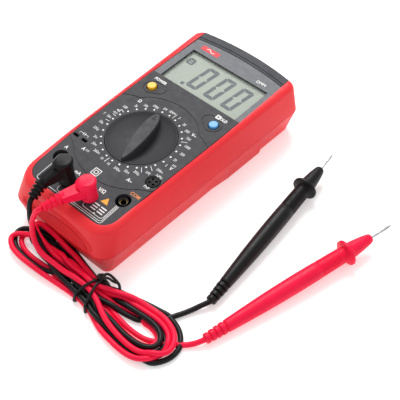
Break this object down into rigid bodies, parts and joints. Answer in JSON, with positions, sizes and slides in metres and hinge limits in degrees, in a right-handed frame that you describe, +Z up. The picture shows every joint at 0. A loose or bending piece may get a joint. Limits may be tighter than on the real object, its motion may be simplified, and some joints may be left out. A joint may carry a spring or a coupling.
{
  "type": "handheld digital multimeter",
  "caption": "Handheld digital multimeter with rotary range dial, liquid-crystal display, test-lead jacks, tilt stand and a pair of tied test leads with probes.",
  "frame": {"origin": "centre of the meter's back, on the surface it lies on; the leads and probes lie beside it", "axes": "+X to the right of the panel, +Y along the meter from the jacks to the display, +Z up out of the panel"},
  "size_m": [0.1924, 0.2093, 0.0551],
  "materials": {
    "case_red": "satin moulded, lightly textured",
    "case_back_red": "satin moulded, lightly textured",
    "panel_grey": "fine matte texture, printed in white",
    "cap_black": "satin",
    "bezel_grey": "satin",
    "window_clear": "clear, gloss",
    "lcd_glass": "pale green-grey display glass",
    "inner_white": "plain moulded",
    "zebra_rubber": "matte",
    "knob_black": "satin",
    "brass": "bright",
    "steel": "bright",
    "button_yellow": "satin",
    "button_blue": "satin",
    "black_plastic": "satin moulded",
    "circuit_board": "solder resist",
    "fuse_ceramic": "ceramic tube with metal caps",
    "battery_jacket": "printed metal jacket",
    "lead_red": "soft satin",
    "lead_black": "soft satin",
    "tie_black": "plastic-covered wire"
  },
  "bodies": {
    "meter": {"front_shell": "case_red", "rear_shell": "case_back_red", "front_panel": "panel_grey", "end_cap": "cap_black", "window_frame": "bezel_grey", "window_pane": "window_clear", "lcd_cell": "lcd_glass", "lcd_holder": "inner_white", "zebra_strip": "zebra_rubber", "detent_ring": "inner_white", "power_switch": "black_plastic", "hold_switch": "black_plastic", "jack_sleeve_a": "black_plastic", "jack_tube_a": "brass", "jack_sleeve_ma": "black_plastic", "jack_tube_ma": "brass", "jack_sleeve_v": "black_plastic", "jack_tube_v": "brass", "jack_sleeve_com": "black_plastic", "jack_tube_com": "brass", "transistor_socket": "black_plastic", "capacitor_socket": "black_plastic", "main_board": "circuit_board", "converter_chip": "black_plastic", "buzzer": "black_plastic", "fuse": "fuse_ceramic", "fuse_clip_rear": "steel", "fuse_clip_front": "steel", "shunt_wire": "brass", "battery": "battery_jacket", "snap_connector": "black_plastic", "battery_door": "case_back_red", "door_screw": "steel", "case_screw_1": "steel", "case_screw_2": "steel", "case_screw_3": "steel", "case_screw_4": "steel", "black_probe": "lead_black", "black_probe_pin": "steel", "black_lead_in": "lead_black", "black_lead_out": "lead_black", "red_probe": "lead_red", "red_probe_pin": "steel", "red_lead_in": "lead_red", "red_lead_out": "lead_red", "lead_hank": "lead_black", "lead_tie": "tie_black"},
    "dial": {"dial_knob": "knob_black", "wiper_carrier": "inner_white", "wiper_contacts": "brass", "detent_ball_left": "steel", "detent_ball_right": "steel", "dial_retainer": "steel"},
    "power_key": {"power_button": "button_yellow"},
    "hold_key": {"hold_button": "button_blue"},
    "stand": {"tilt_stand": "case_back_red"},
    "black_plug": {"black_plug": "lead_black", "black_plug_pin": "steel"},
    "red_plug": {"red_plug": "lead_red", "red_plug_pin": "steel"}
  },
  "joints": [
    {"name": "dial_turn", "type": "hinge", "parent": "meter", "child": "dial", "pos_m": [0, -0.01425, 0.034], "axis": [0, 0, 1], "continuous": true},
    {"name": "power_press", "type": "slide", "parent": "meter", "child": "power_key", "axis": [0, 0, -1], "range_m": [0, 0.0015], "stiffness_N_per_m": 300, "springref_m": -0.0005},
    {"name": "hold_press", "type": "slide", "parent": "meter", "child": "hold_key", "axis": [0, 0, -1], "range_m": [0, 0.0012], "stiffness_N_per_m": 300, "springref_m": -0.0005},
    {"name": "stand_tilt", "type": "hinge", "parent": "meter", "child": "stand", "pos_m": [0, 0.04, 0.0024], "axis": [1, 0, 0], "range_deg": [0, 60]},
    {"name": "black_plug_pull", "type": "slide", "parent": "meter", "child": "black_plug", "axis": [0, 0, 1], "range_m": [0, 0.02]},
    {"name": "red_plug_pull", "type": "slide", "parent": "meter", "child": "red_plug", "axis": [0, 0, 1], "range_m": [0, 0.02]}
  ]
}
